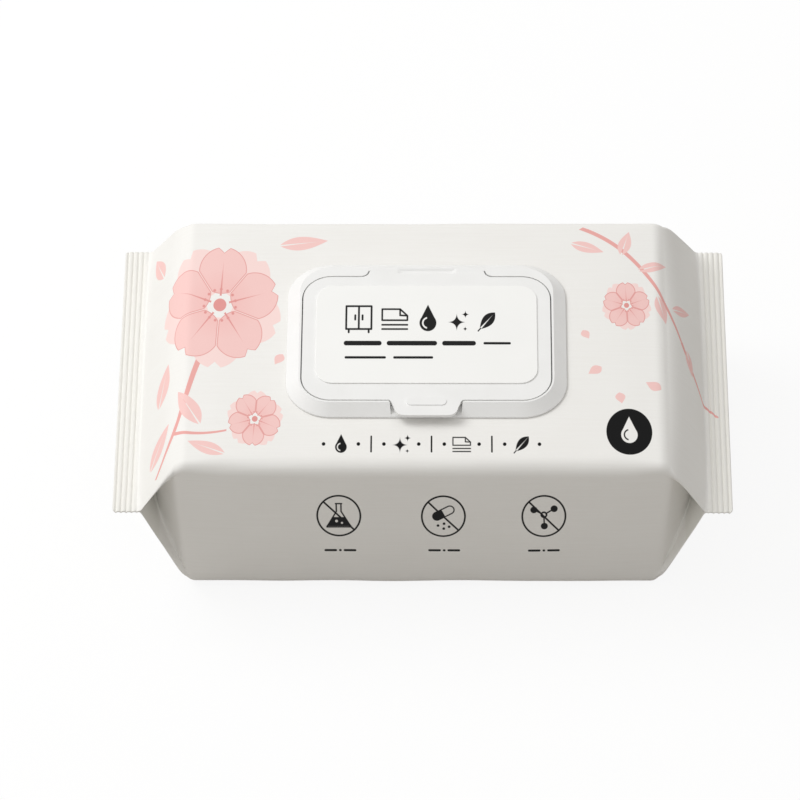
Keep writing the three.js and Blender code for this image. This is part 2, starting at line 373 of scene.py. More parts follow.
def filmStations():  # 0 to 1 on the flat, 1 to 2 on the slope, 2 to 3 on the fin
    flat, shoulder, slope, fin = stationCounts
    dense = 0.9
    found = [dense * i / flat for i in range(flat)]
    found += [dense + (1 - dense) * i / shoulder for i in range(shoulder)]
    found += [1 + i / slope for i in range(slope)]
    return found + [2 + i / fin for i in range(fin + 1)]


def crimpDrop(x):  # the grooves that the sealing jaws press into both layers
    depth = 0
    for count in range(pouch["crimpCount"]):
        middle = pouch["finEnd"] - pouch["crimpFromEnd"] - count * pouch["crimpPitch"]
        depth += math.exp(-((x - middle) / pouch["crimpWidth"]) ** 2)
    return pouch["crimpDepth"] * depth


def finSpread(x):  # half the seal's thickness, rounded off at its outer end
    left = min(max(pouch["finEnd"] - x, 0) / pouch["finEndRounding"], 1)
    return pouch["finHalfThickness"] * math.sqrt(1 - (1 - left) ** 2)


def panelAt(station, lower):  # x, height and edge radius of the top or the bottom panel
    side = "bottom" if lower else "top"
    ends = (0, pouch[side + "End"], pouch["finStart"], pouch["finEnd"])
    stage = min(int(station), 2)
    x = ends[stage] + (ends[stage + 1] - ends[stage]) * (station - stage)
    level = 0 if lower else pouch["height"]
    climb = (pouch["finHeight"] - level) / (ends[2] - ends[1])
    ramp = softRamp(x - ends[1], pouch[side + "Softness"]) - softRamp(x - ends[2], pouch["finSoftness"])
    outwards = -1 if lower else 1
    height = level + climb * ramp + outwards * finSpread(x) * smooth(1.5, 2, station)
    if station >= 2:
        return x, height, abs(height - pouch["finHeight"]) / 2
    root = abs(climb) * softRamp(0, pouch["finSoftness"]) / 2 + pouch["finHalfThickness"] / 2
    slope = max(station - 1, 0)
    towardsCorner = smooth(pouch["cornerFrom"], 1, station)
    radius = pouch[side + "Radius"]
    radius += (pouch[side + "CornerRadius"] - radius) * towardsCorner
    if not lower:
        height -= pouch["cornerDrop"] * towardsCorner * (1 - slope)
    return x, height, root + (radius - root) * (1 - slope) ** 3


def sectionPoint(station, part, share):
    # the front half of a section goes from the top panel over its edge, the upper flap and the
    # wall to the lower flap, edge and bottom panel, which are parts 0 to 6
    slope = min(max(station - 1, 0), 1)
    width = pouch["halfDepth"] + (pouch["finHalfDepth"] - pouch["halfDepth"]) * slope
    width -= pouch["cornerDrop"] * smooth(pouch["cornerFrom"], 1, station) * (1 - slope)
    rounding = pouch["finCornerRadius"]
    x = panelAt(station, False)[0]
    past = max(x - pouch["finEnd"] + rounding, 0)
    width -= rounding - math.sqrt(max(rounding ** 2 - past ** 2, 0))
    sweep = math.radians(90 + 90 * smooth(0, pouch["foldShare"], slope))
    soft = pouch["cornerSoftness"]
    tuck = (math.sqrt(slope * slope + soft * soft) - soft) / (math.sqrt(1 + soft * soft) - soft)
    depth = pouch["halfDepth"] + pouch["height"] / 2 - pouch["finHalfDepth"]
    depth *= 1 - pouch["foldPuff"] * math.sin(math.pi * slope)
    foldY = depth * tuck - width
    if part == 3:
        xTop, heightTop, radiusTop = panelAt(station, False)
        xBottom, heightBottom, radiusBottom = panelAt(station, True)
        upper = heightTop - radiusTop * (1 - math.cos(sweep))
        lower = heightBottom + radiusBottom * (1 - math.cos(sweep))
        return Vector((xTop + (xBottom - xTop) * share, foldY, upper + (lower - upper) * share))
    lower = part > 3
    inwards = 1 if lower else -1
    x, height, radius = panelAt(station, lower)
    reach = width - radius
    share = 1 - share if lower else share
    if part == 0:
        return Vector((x, -reach * share, height))
    if part == 6:
        zone, dense = pouch["seamZone"], pouch["seamRowShare"]
        y = zone * share / dense
        if share >= dense:
            y = zone + (reach - zone) * (share - dense) / (1 - dense)
        groove = math.exp(-((y - pouch["seamHalfWidth"]) / pouch["grooveWidth"]) ** 2)
        return Vector((x, -y, height + pouch["seamGroove"] * groove * (1 - slope)))
    turned = sweep * share if part in (1, 5) else sweep
    y = -reach - radius * math.sin(turned)
    z = height + inwards * radius * (1 - math.cos(turned))
    if part in (2, 4):
        y += (foldY - y) * share
    return Vector((x, y, z))


def swollen(point, part, station):  # the full pack pushes its film outwards
    x, y, z = point
    slope = min(max(station - 1, 0), 1)
    across = 1 - min(abs(y) / pouch["finHalfDepth"], 1) ** 6
    push = pouch["endSwell"] * across * smooth(0.1, 1, slope)
    root = pouch["finStart"] + push
    push *= 1 - smooth(pouch["finStart"], pouch["finEnd"], x)
    bulge = pouch["slopeSwell"] * (1 - (y / pouch["finHalfDepth"]) ** 2) * math.sin(math.pi * slope)
    if part in (0, 6):
        z += bulge * (pouch["swellUp"] if part == 0 else -pouch["swellDown"])
        x += bulge * pouch["swellOut"] + push
    z -= crimpDrop(x) * smooth(root, root + 2, x) * smooth(1.9, 2, station)
    if z > 0 and part in (1, 2, 3, 4, 5):
        share = z / pouch["height"]
        along = max(1 - (x / pouch["bottomEnd"]) ** 4, 0)
        y -= pouch["frontSwell"] * 4 * share * (1 - share) * along
    return Vector((x, y, z))


def shapeQuarter():
    stations = filmStations()
    steps = [(part, k / count) for part, count in enumerate(aroundCounts) for k in range(count)]
    steps.append((6, 1.0))
    columns, rows = len(stations) - 1, len(steps) - 1
    bm = bmesh.new()
    bmesh.ops.create_grid(bm, x_segments=columns, y_segments=rows, size=1)
    alongLayer = bm.verts.layers.float.new("along")
    aroundLayer = bm.verts.layers.float.new("around")
    flat, cell = {}, {}
    for vert in bm.verts:
        i = round((vert.co.x + 1) / 2 * columns)
        j = round((vert.co.y + 1) / 2 * rows)
        part, share = steps[j]
        cell[vert] = (i, j)
        flat[i, j] = sectionPoint(stations[i], part, share)
        vert.co = swollen(flat[i, j], part, stations[i])
    length, girth = {}, {}  # along the film from the middle, and round it from the top
    for i in range(columns + 1):
        for j in range(rows + 1):
            before = flat.get((i, j - 1), flat[i, j])
            girth[i, j] = girth.get((i, j - 1), 0) + (flat[i, j] - before).yz.length
            before = flat.get((i - 1, j), flat[i, j])
            length[i, j] = length.get((i - 1, j), 0) + (flat[i, j] - before).xz.length
    wallRow, wallEnd = sum(aroundCounts[:3]), sum(aroundCounts[:4])
    for vert, (i, j) in cell.items():
        lower = min(max((j - wallRow) / (wallEnd - wallRow), 0), 1)
        vert[alongLayer] = length[i, 0] + (length[i, rows] - length[i, 0]) * lower
        vert[aroundLayer] = girth[i, j]
    finColumn = stations.index(2.0)
    edgeRow, flapEnd = sum(aroundCounts[:2]), sum(aroundCounts[:5])
    tucked = [  # inside the end seal there is nothing
        face for face in bm.faces
        if min(cell[vert][0] for vert in face.verts) >= finColumn
        and min(cell[vert][1] for vert in face.verts) >= edgeRow
        and max(cell[vert][1] for vert in face.verts) <= flapEnd
    ]
    bmesh.ops.delete(bm, geom=tucked, context="FACES")
    foldStart, foldStop = pouch["foldStations"]
    creased = [
        vert for vert, (i, j) in cell.items()
        if vert.is_valid and foldStart < stations[i] < foldStop and edgeRow < j < flapEnd
    ]
    for _ in range(pouch["foldSmoothing"]):
        bmesh.ops.smooth_vert(
            bm, verts=creased, factor=0.5, use_axis_x=True, use_axis_y=True, use_axis_z=True
        )
    bmesh.ops.remove_doubles(bm, verts=bm.verts, dist=pouch["mergeWithin"])
    return bm


def finishFilm(bm):
    for axis in "XY":
        every = bm.verts[:] + bm.edges[:] + bm.faces[:]
        bmesh.ops.mirror(
            bm, geom=every, matrix=Matrix(), merge_dist=pouch["mergeWithin"], axis=axis
        )
    bmesh.ops.remove_doubles(bm, verts=bm.verts, dist=pouch["mergeWithin"])
    bmesh.ops.dissolve_degenerate(bm, edges=bm.edges, dist=0.001)
    bmesh.ops.recalc_face_normals(bm, faces=bm.faces)
    alongLayer = bm.verts.layers.float["along"]
    aroundLayer = bm.verts.layers.float["around"]
    filmMap = bm.loops.layers.uv.new("film")
    for face in bm.faces:
        middle = face.calc_center_median()
        for loop in face.loops:
            u = math.copysign(loop.vert[alongLayer], middle.x)
            v = math.copysign(loop.vert[aroundLayer], middle.y)
            loop[filmMap].uv = (u, v)
    bm.normal_update()
    for vert in bm.verts:  # the film is never quite even
        free = smooth(0.4, 3, vert.co.z) * smooth(0, 2, pouch["height"] - vert.co.z)
        free *= 1 - smooth(pouch["finStart"] - 4, pouch["finStart"], abs(vert.co.x))
        lift = noise.noise(vert.co / pouch["unevenSize"])
        vert.co += vert.normal * lift * pouch["unevenness"] * free


def finishPiece(bm, name, body, nodes, material, evenNormals=False):
    bmesh.ops.scale(bm, vec=(mm, mm, mm), verts=bm.verts)
    mesh = bpy.data.meshes.new(name)
    bm.to_mesh(mesh)
    bm.free()
    mesh.shade_smooth()
    mesh.set_sharp_from_angle(angle=math.radians(shadedAngle))
    mesh.materials.append(material)
    piece = bpy.data.objects.new(name, mesh)
    bpy.context.scene.collection.objects.link(piece)
    if evenNormals:
        piece.modifiers.new("even_normals", "WEIGHTED_NORMAL").keep_sharp = True
    if body:
        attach(piece, body)
    if nodes:
        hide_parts(*nodes)
    return piece


# Surface groups: the grain of all surfaces, and the shapes that the print is made of
def noiseAt(tree, point, scale, detail):
    node = tree.nodes.new("ShaderNodeTexNoise")
    feed(tree, point, node.inputs["Vector"])
    feed(tree, scale, node.inputs["Scale"])
    node.inputs["Detail"].default_value = detail
    return node.outputs[0]


def makeGrainGroup():  # fine grain for the relief, and with broad patches for the shade
    tree, given, made = startGroup("fine_grain", {"Fine": 4.0, "Broad": 0.06}, ["Height", "Shade"])
    point = combine(tree, given["X"], given["Y"])
    fine = noiseAt(tree, point, given["Fine"], 3)
    broad = noiseAt(tree, point, given["Broad"], 2)
    tree.links.new(fine, made["Height"])
    both = calc(tree, "ADD", calc(tree, "MULTIPLY", fine, 0.35), calc(tree, "MULTIPLY", broad, 0.65))
    tree.links.new(both, made["Shade"])
    return tree


def makeDiscGroup():
    tree, given, made = startGroup("print_disc", {"Radius": 1.0}, ["Depth"])
    reach = measure(tree, given["X"], given["Y"])
    tree.links.new(calc(tree, "SUBTRACT", given["Radius"], reach), made["Depth"])
    return tree


def makeBarGroup():  # a round-ended bar along its own x
    tree, given, made = startGroup("print_bar", {"Length": 1.0, "Width": 0.2}, ["Depth"])
    past = calc(tree, "SUBTRACT", calc(tree, "ABSOLUTE", given["X"]), given["Length"])
    offAxis = measure(tree, calc(tree, "MAXIMUM", past, 0), given["Y"])
    tree.links.new(calc(tree, "SUBTRACT", given["Width"], offAxis), made["Depth"])
    return tree


def makeLeafGroup():  # a leaf or a loose petal along its own x, with the line of its rib
    tree, given, made = startGroup(
        "print_leaf", {"Length": 5.0, "Width": 2.0, "Fullness": 0.3}, ["Depth", "Rib"]
    )
    share = calc(tree, "DIVIDE", given["X"], given["Length"])
    taper = calc(tree, "SUBTRACT", 1, calc(tree, "MULTIPLY", share, share))
    lean = calc(tree, "MULTIPLY_ADD", share, given["Fullness"], 1)
    lean = calc(tree, "MAXIMUM", lean, 0.1)  # below 0 it would print far from the leaf
    spread = calc(tree, "MULTIPLY", calc(tree, "MULTIPLY", taper, lean), given["Width"])
    side = calc(tree, "ABSOLUTE", given["Y"])
    tree.links.new(calc(tree, "SUBTRACT", spread, side), made["Depth"])
    thin = calc(tree, "MULTIPLY", calc(tree, "SUBTRACT", 0.55, share), 0.22)
    tree.links.new(calc(tree, "SUBTRACT", thin, side), made["Rib"])
    return tree


def makeTwigGroup():  # a curved line along its own x
    tree, given, made = startGroup(
        "print_twig", {"Length": 10.0, "Bend": 0.0, "Sway": 0.0, "Width": 0.5}, ["Depth"]
    )
    share = calc(tree, "DIVIDE", given["X"], given["Length"])
    taper = calc(tree, "SUBTRACT", 1, calc(tree, "MULTIPLY", share, share))
    drift = calc(tree, "MULTIPLY_ADD", share, given["Sway"], given["Bend"])
    middle = calc(tree, "MULTIPLY", taper, drift)
    side = calc(tree, "ABSOLUTE", calc(tree, "SUBTRACT", given["Y"], middle))
    thin = calc(tree, "SUBTRACT", 1.1, calc(tree, "MULTIPLY", share, 0.35))
    across = calc(tree, "SUBTRACT", calc(tree, "MULTIPLY", thin, given["Width"]), side)
    ends = calc(tree, "SUBTRACT", given["Length"], calc(tree, "ABSOLUTE", given["X"]))
    tree.links.new(calc(tree, "MINIMUM", across, ends), made["Depth"])
    return tree


blossomShape = {
    "petals": 5,
    "petalMiddle": 0.6,  # this and the rest are shares of the radius
    "petalReach": 0.4,
    "notchWidth": 0.1,
    "notchStart": 0.75,
    "petalGap": 0.014,
    "veinStart": 0.16,
    "veinEnd": 0.72,
    "veinWidth": 0.03,
    "stamens": 15,
    "stamenReach": 0.27,
    "stamenRadius": 0.024,
    "heartRadius": 0.11,
}


def makeBlossomGroup():  # round petals with a notch at each tip, and a ring of stamens
    tree, given, made = startGroup(
        "print_blossom", {"Radius": 10.0}, ["Petals", "Lines", "Heart", "Reach"]
    )
    shape = blossomShape
    radius = given["Radius"]
    reach = calc(tree, "DIVIDE", measure(tree, given["X"], given["Y"]), radius)
    angle = calc(tree, "ARCTAN2", given["Y"], given["X"])
    halfPetal = math.pi / shape["petals"]
    turn = calc(tree, "PINGPONG", angle, halfPetal)
    along = calc(tree, "MULTIPLY", reach, calc(tree, "COSINE", turn))
    across = calc(tree, "MULTIPLY", reach, calc(tree, "SINE", turn))
    fromMiddle = calc(tree, "SUBTRACT", along, shape["petalMiddle"])
    fromMiddle = calc(tree, "DIVIDE", fromMiddle, shape["petalReach"])
    fromLine = calc(tree, "DIVIDE", across, shape["petalReach"])
    oval = calc(tree, "SUBTRACT", 1, measure(tree, fromMiddle, fromLine))
    notch = calc(tree, "MAXIMUM", calc(tree, "SUBTRACT", shape["notchWidth"], across), 0)
    notch = calc(tree, "MULTIPLY", notch, calc(tree, "GREATER_THAN", along, shape["notchStart"]))
    petal = calc(tree, "SUBTRACT", calc(tree, "MULTIPLY", oval, shape["petalReach"]), notch)
    toNext = calc(tree, "SINE", calc(tree, "SUBTRACT", halfPetal, turn))
    toNext = calc(tree, "MULTIPLY_ADD", reach, toNext, -shape["petalGap"])
    petal = calc(tree, "MINIMUM", petal, toNext)
    tree.links.new(calc(tree, "MULTIPLY", petal, radius), made["Petals"])
    thin = calc(tree, "SUBTRACT", shape["veinEnd"], along)
    thin = calc(tree, "MULTIPLY", thin, shape["veinWidth"])
    vein = calc(tree, "SUBTRACT", thin, across)
    vein = calc(tree, "MINIMUM", vein, calc(tree, "SUBTRACT", along, shape["veinStart"]))
    spread = calc(tree, "PINGPONG", angle, math.pi / shape["stamens"])
    dotX = calc(tree, "MULTIPLY_ADD", reach, calc(tree, "COSINE", spread), -shape["stamenReach"])
    dotY = calc(tree, "MULTIPLY", reach, calc(tree, "SINE", spread))
    dots = calc(tree, "SUBTRACT", shape["stamenRadius"], measure(tree, dotX, dotY))
    tree.links.new(calc(tree, "MULTIPLY", highest(tree, (vein, dots)), radius), made["Lines"])
    heart = calc(tree, "SUBTRACT", shape["heartRadius"], reach)
    tree.links.new(calc(tree, "MULTIPLY", heart, radius), made["Heart"])
    tree.links.new(reach, made["Reach"])
    return tree


grainGroup = makeGrainGroup()
discGroup = makeDiscGroup()
barGroup = makeBarGroup()
leafGroup = makeLeafGroup()
twigGroup = makeTwigGroup()
blossomGroup = makeBlossomGroup()


def disc(tree, point, centre, radius):
    return useGroup(tree, discGroup, place(tree, point, centre), Radius=radius)["Depth"]


def ring(tree, point, centre, radius, width):
    edge = calc(tree, "ABSOLUTE", disc(tree, point, centre, radius))
    return calc(tree, "SUBTRACT", width / 2, edge)


def bar(tree, point, start, end, width):
    along = Vector(end) - Vector(start)
    middle = (Vector(end) + Vector(start)) / 2
    turn = math.degrees(math.atan2(along.y, along.x))
    local = place(tree, point, middle, turn)
    found = useGroup(tree, barGroup, local, Length=along.length / 2, Width=width / 2)
    return found["Depth"]


def bars(tree, point, width, *lines):  # each line is x, y, x, y
    return highest(tree, (bar(tree, point, line[:2], line[2:], width) for line in lines))


def cutFrom(tree, shape, removed):
    return calc(tree, "MINIMUM", shape, calc(tree, "MULTIPLY", removed, -1))


def softMask(tree, depth, blur=0.16):  # 1 inside a printed shape and 0 outside it
    return calc(tree, "ADD", calc(tree, "DIVIDE", depth, blur), 0.5, clamp=True)


# Pictograms, drawn in mm about their own middle and about 8 mm high
def drawDrop(tree, point):
    x, y = point
    width = calc(tree, "MULTIPLY", calc(tree, "SUBTRACT", 4.3, y), 0.5)
    tip = calc(tree, "MULTIPLY", calc(tree, "SUBTRACT", width, calc(tree, "ABSOLUTE", x)), 0.9)
    tip = calc(tree, "MINIMUM", tip, calc(tree, "ADD", y, 0.1))
    body = disc(tree, point, (0, -1.3), 2.55)
    gleam = ring(tree, point, (0, -1.3), 1.55, 0.45)
    gleam = calc(tree, "MINIMUM", gleam, calc(tree, "SUBTRACT", -0.3, x))
    return cutFrom(tree, highest(tree, (tip, body)), gleam)


def drawSparkle(tree, point):  # a star of four points, with a small one beside it
    def star(centre, size):
        local = place(tree, point, centre)
        sides = [calc(tree, "SQRT", calc(tree, "ABSOLUTE", side)) for side in local]
        spread = calc(tree, "ADD", *sides)
        return calc(tree, "SUBTRACT", math.sqrt(size), spread)
    stars = ((-0.6, -0.4), 3.7), ((2.7, 2.6), 1.7), ((2.6, -3.0), 1.1)
    return highest(tree, (star(centre, size) for centre, size in stars))


def drawLeaf(tree, point):
    local = place(tree, point, (0, 0.1), 48)
    leaf = useGroup(tree, leafGroup, local, Length=4.4, Width=2.1, Fullness=0.25)
    shape = cutFrom(tree, leaf["Depth"], leaf["Rib"])
    return highest(tree, (shape, bar(tree, point, (-3.5, -3.8), (-2.6, -2.8), 0.5)))


def drawSheets(tree, point):  # three stacked sheets, the top one lifted at a corner
    return bars(
        tree, point, 0.55, (-3.8, -3.2, 3.8, -3.2), (-3.8, -1.9, 3.8, -1.9), (-3.8, -0.5, 3.8, -0.5),
        (-3.8, -0.5, -3.8, 2.9), (-3.8, 2.9, 1.6, 2.9), (3.8, -0.5, 3.8, 0.9), (3.8, 0.9, 1.6, 2.9),
        (1.6, 2.9, 1.6, 1.0), (1.6, 1.0, 3.8, 0.9),
    )


def drawCabinet(tree, point):
    return bars(
        tree, point, 0.6, (-3.8, -3.2, 3.8, -3.2), (3.8, -3.2, 3.8, 3.8), (3.8, 3.8, -3.8, 3.8),
        (-3.8, 3.8, -3.8, -3.2), (0, -3.2, 0, 3.8), (-3.0, -3.2, -3.0, -4.2), (3.0, -3.2, 3.0, -4.2),
        (-1.1, -0.3, -1.1, 1.0), (1.1, -0.3, 1.1, 1.0),
    )


def drawFlask(tree, point):
    x, y = point
    width = calc(tree, "MULTIPLY", calc(tree, "SUBTRACT", 2.4, y), 0.66)
    sides = calc(tree, "MULTIPLY", calc(tree, "SUBTRACT", width, calc(tree, "ABSOLUTE", x)), 0.83)
    filling = calc(tree, "MINIMUM", sides, calc(tree, "SUBTRACT", -0.4, y))
    filling = calc(tree, "MINIMUM", filling, calc(tree, "ADD", y, 3.4))
    bubbles = ((-0.7, -1.7), 0.42), ((0.9, -2.3), 0.32)
    bubbles = highest(tree, (disc(tree, point, centre, radius) for centre, radius in bubbles))
    outline = bars(
        tree, point, 0.45, (-0.9, 3.9, 0.9, 3.9), (-0.7, 3.9, -0.7, 1.4), (0.7, 3.9, 0.7, 1.4),
        (-0.7, 1.4, -3.6, -3.6), (0.7, 1.4, 3.6, -3.6), (-3.6, -3.6, 3.6, -3.6),
    )
    return highest(tree, (cutFrom(tree, filling, bubbles), outline))


def drawCapsule(tree, point):
    whole = bar(tree, point, (-1.9, 0.1), (1.9, 2.1), 2.9)
    inner = bar(tree, point, (-1.9, 0.1), (1.9, 2.1), 2.1)
    x, y = place(tree, point, (0, 1.1), 28)
    shell = cutFrom(tree, whole, calc(tree, "MINIMUM", inner, x))
    dots = (-1.6, -2.9), (0.2, -2.3), (1.7, -3.3), (0.1, -3.9)
    dots = highest(tree, (disc(tree, point, centre, 0.42) for centre in dots))
    return highest(tree, (shell, dots))


def drawMolecule(tree, point):
    balls = (0, 0.5), (3.0, 2.4), (-3.0, 2.0), (0.2, -3.1)
    balls = highest(tree, (disc(tree, point, centre, 1.05) for centre in balls))
    links = bars(tree, point, 0.45, (0, 0.5, 3.0, 2.4), (0, 0.5, -3.0, 2.0), (0, 0.5, 0.2, -3.1))
    return cutFrom(tree, highest(tree, (balls, links)), disc(tree, point, (0, 0.5), 0.5))


# Film: the printed design, laid out in mm along and round the film
filmLook = {
    "tone": colour(242, 241, 238),
    "darkTone": colour(237, 235, 231),
    "sealTone": colour(236, 235, 230),
    "petal": colour(244, 203, 199),
    "deepPetal": colour(239, 184, 180),
    "palePetal": colour(247, 219, 215),
    "line": colour(226, 155, 151),
    "twig": colour(235, 172, 167),
    "ink": colour(6, 6, 6),
    "streakStretch": 0.035,  # faint streaks run along the film
    "streakScale": 1.3,
    "fineScale": 3.2,
    "broadScale": 0.05,
    "sealStart": 112.6,  # along the film
    "finish": {
        "roughness": 0.5, "roughnessSpread": 0.12, "gloss": 0.12,
        "bumpStrength": 0.35, "bumpDepth": 0.06,
    },
    "stretch": 1.3,  # prints on top are drawn longer, to look round from the front
    "frontStretch": 1.45,
    "blossoms": [  # middle, radius, turn
        ((-74, 17), 21.5, 15), ((-60, -37), 9.5, 50), ((74, 17), 8.5, 20),
    ],
    "palePetals": 1.08,  # those behind, against the radius of those in front
    "petalOutline": 0.13,
    "deepReach": 0.62,  # of the radius, where the deeper pink ends
    "leaves": [  # middle, turn, half length, half width
        ((-96, -16), 74, 9.5, 3.4), ((-84, -31), 118, 9.5, 3.4), ((-98, -43), 52, 9.5, 3.3),
        ((-77, -50), 155, 7.5, 2.7), ((-44, 47), 8, 9, 3.2), ((-103, 46), 118, 8, 3.0),
        ((60, 45), -20, 6.5, 2.4), ((74, 47), 75, 6, 2.3), ((84, 36), 20, 6, 2.2),
        ((87, 16), -75, 6.5, 2.3), ((97, 21), 25, 6, 2.1), ((101, -1), -70, 5.5, 2.0),
    ],
    "twigs": [  # middle, turn, half length, bend, sway, half width
        ((-90, -31), -112, 27, 3.5, 3, 0.75), ((-80, -41.9), -2, 10, -1.5, 0, 0.55),
        ((77, 30), -52, 31, 5, -3, 0.65), ((106.8, -6.3), -48, 16, -1.2, 0.35, 0.5),
    ],
    "loosePetals": [  # middle, turn, half length, half width
        ((62, -14), 35, 2.9, 1.9), ((71, -27), 100, 2.6, 1.7), ((83, -21), -30, 3.2, 2.0),
        ((59, 3), 120, 2.3, 1.5), ((-52, -9), 60, 2.8, 1.7),
    ],
    "row": {  # small pictograms with dots beside them and rules between them
        "start": (-29, -48.6),
        "pitch": 21.5,
        "size": 0.82,
        "blur": 0.3,
        "ruleReach": 3.6,
        "ruleWidth": 0.6,
        "dotOffset": 6.2,
        "dotRadius": 0.65,
    },
    "rings": {  # crossed pictograms on the front, each over a short broken rule
        "middles": [(-30, -83.5), (7.5, -83.5), (43.5, -83.5)],
        "size": 1.12,
        "radius": 6.9,
        "slashReach": 4.88,
        "lineWidth": 0.6,
        "filling": 1.08,
        "rules": [(-4.5, -1.2), (0.2, 0.3), (1.7, 5.0)],
        "rulesAt": -12.1,
        "ruleWidth": 0.8,
    },
    "disc": {"middle": (73.8, -42.7), "radius": 8.2, "dropAt": (0, 0.4), "dropSize": 1.15},
}


def filmPoint(tree):
    node = tree.nodes.new("ShaderNodeUVMap")
    node.uv_map = "film"
    return split(tree, node.outputs[0])[:2]


def plantPrint(tree, film, under):
    look = filmLook
    kept, keep = collector(tree)
    for centre, radius, turn in look["blossoms"]:
        local = place(tree, film, centre, 0, (1, look["stretch"]))
        turned = place(tree, local, (0, 0), turn + 180 / blossomShape["petals"])
        back = useGroup(tree, blossomGroup, turned, Radius=radius * look["palePetals"])
        keep("pale", back["Petals"])
        turned = place(tree, local, (0, 0), turn)
        front = useGroup(tree, blossomGroup, turned, Radius=radius)
        keep("petals", front["Petals"])
        keep("lines", front["Lines"])
        keep("lines", front["Heart"])
        outline = calc(tree, "ABSOLUTE", front["Petals"])
        keep("lines", calc(tree, "SUBTRACT", look["petalOutline"], outline))
        keep("deep", calc(tree, "SUBTRACT", look["deepReach"], front["Reach"]))
    for centre, turn, length, width in look["leaves"]:
        local = place(tree, film, centre, turn)
        leaf = useGroup(tree, leafGroup, local, Length=length, Width=width, Fullness=-0.3)
        keep("petals", cutFrom(tree, leaf["Depth"], leaf["Rib"]))
    for centre, turn, length, width in look["loosePetals"]:
        local = place(tree, film, centre, turn)
        petal = useGroup(tree, leafGroup, local, Length=length, Width=width, Fullness=0.5)
        keep("petals", petal["Depth"])
    for centre, turn, length, bend, sway, width in look["twigs"]:
        local = place(tree, film, centre, turn)
        twig = useGroup(tree, twigGroup, local, Length=length, Bend=bend, Sway=sway, Width=width)
        keep("twigs", twig["Depth"])
    shade = blendColours(tree, softMask(tree, kept["twigs"]), under, look["twig"])
    shade = blendColours(tree, softMask(tree, kept["pale"]), shade, look["palePetal"])
    heat = calc(tree, "MULTIPLY", kept["deep"], 1.1, clamp=True)
    petal = blendColours(tree, heat, look["petal"], look["deepPetal"])
    shade = blendColours(tree, softMask(tree, kept["petals"]), shade, petal)
    return blendColours(tree, softMask(tree, kept["lines"]), shade, look["line"])


def pictogramPrint(tree, film, under):
    look = filmLook
    kept, keep = collector(tree)
    row = look["row"]
    draws = (drawDrop, drawSparkle, drawSheets, drawLeaf)
    for count, draw in enumerate(draws):
        x, y = row["start"][0] + row["pitch"] * count, row["start"][1]
        point = place(tree, film, (x, y), 0, (row["size"], row["size"] * look["stretch"]))
        keep("ink", softMask(tree, draw(tree, point), row["blur"]))
        if count + 1 < len(draws):
            ruleX, reach = x + row["pitch"] / 2, row["ruleReach"]
            keep("line", bar(tree, film, (ruleX, y - reach), (ruleX, y + reach), row["ruleWidth"]))
        for side in (-row["dotOffset"], row["dotOffset"]):
            local = place(tree, film, (x + side, y), 0, (1, look["stretch"]))
            keep("line", disc(tree, local, (0, 0), row["dotRadius"]))
    rings = look["rings"]
    size, reach, ruleY = rings["size"], rings["slashReach"], rings["rulesAt"]
    for middle, draw in zip(rings["middles"], (drawFlask, drawCapsule, drawMolecule)):
        point = place(tree, film, middle, 0, (size, size * look["frontStretch"]))
        keep("line", ring(tree, point, (0, 0), rings["radius"], rings["lineWidth"]))
        keep("line", bar(tree, point, (-reach, reach), (reach, -reach), rings["lineWidth"]))
        inside = place(tree, point, (0, 0), 0, (rings["filling"], rings["filling"]))
        keep("line", draw(tree, inside))
        for start, end in rings["rules"]:
            keep("line", bar(tree, point, (start, ruleY), (end, ruleY), rings["ruleWidth"]))
    spot = look["disc"]
    point = place(tree, film, spot["middle"], 0, (1, look["stretch"]))
    inside = place(tree, point, spot["dropAt"], 0, (spot["dropSize"], spot["dropSize"]))
    keep("line", cutFrom(tree, disc(tree, point, (0, 0), spot["radius"]), drawDrop(tree, inside)))
    keep("ink", softMask(tree, kept["line"]))
    return blendColours(tree, kept["ink"], under, look["ink"])


def makeFilmMaterial():
    look = filmLook
    material, tree, shader = startMaterial("printed_film")
    film = filmPoint(tree)
    u, v = film
    drawnOut = combine(tree, calc(tree, "MULTIPLY", u, look["streakStretch"]), v)
    streaks = noiseAt(tree, drawnOut, look["streakScale"], 3)
    grain = useGroup(tree, grainGroup, film, Fine=look["fineScale"], Broad=look["broadScale"])
    patches = calc(tree, "MULTIPLY", grain["Shade"], 0.5)
    mottled = mottle(tree, calc(tree, "MULTIPLY_ADD", streaks, 0.6, patches), 0.4, 1.6)
    tone = blendColours(tree, mottled, look["tone"], look["darkTone"])
    onSeal = calc(tree, "SUBTRACT", calc(tree, "ABSOLUTE", u), look["sealStart"])
    onSeal = calc(tree, "MULTIPLY", onSeal, 0.6, clamp=True)
    tone = blendColours(tree, onSeal, tone, look["sealTone"])
    tone = plantPrint(tree, film, tone)
    tone = pictogramPrint(tree, film, tone)
    relief = calc(tree, "ADD", streaks, calc(tree, "MULTIPLY", grain["Height"], 0.5))
    finishMaterial(tree, shader, look["finish"], tone, grain["Shade"], relief)
    return material


film = shapeQuarter()
finishFilm(film)
filmMaterial = makeFilmMaterial()
filmPiece = finishPiece(film, "printed_pouch", "pack", ["film_pouch"], filmMaterial)
print("pouch shaped", len(filmPiece.data.polygons), "faces")


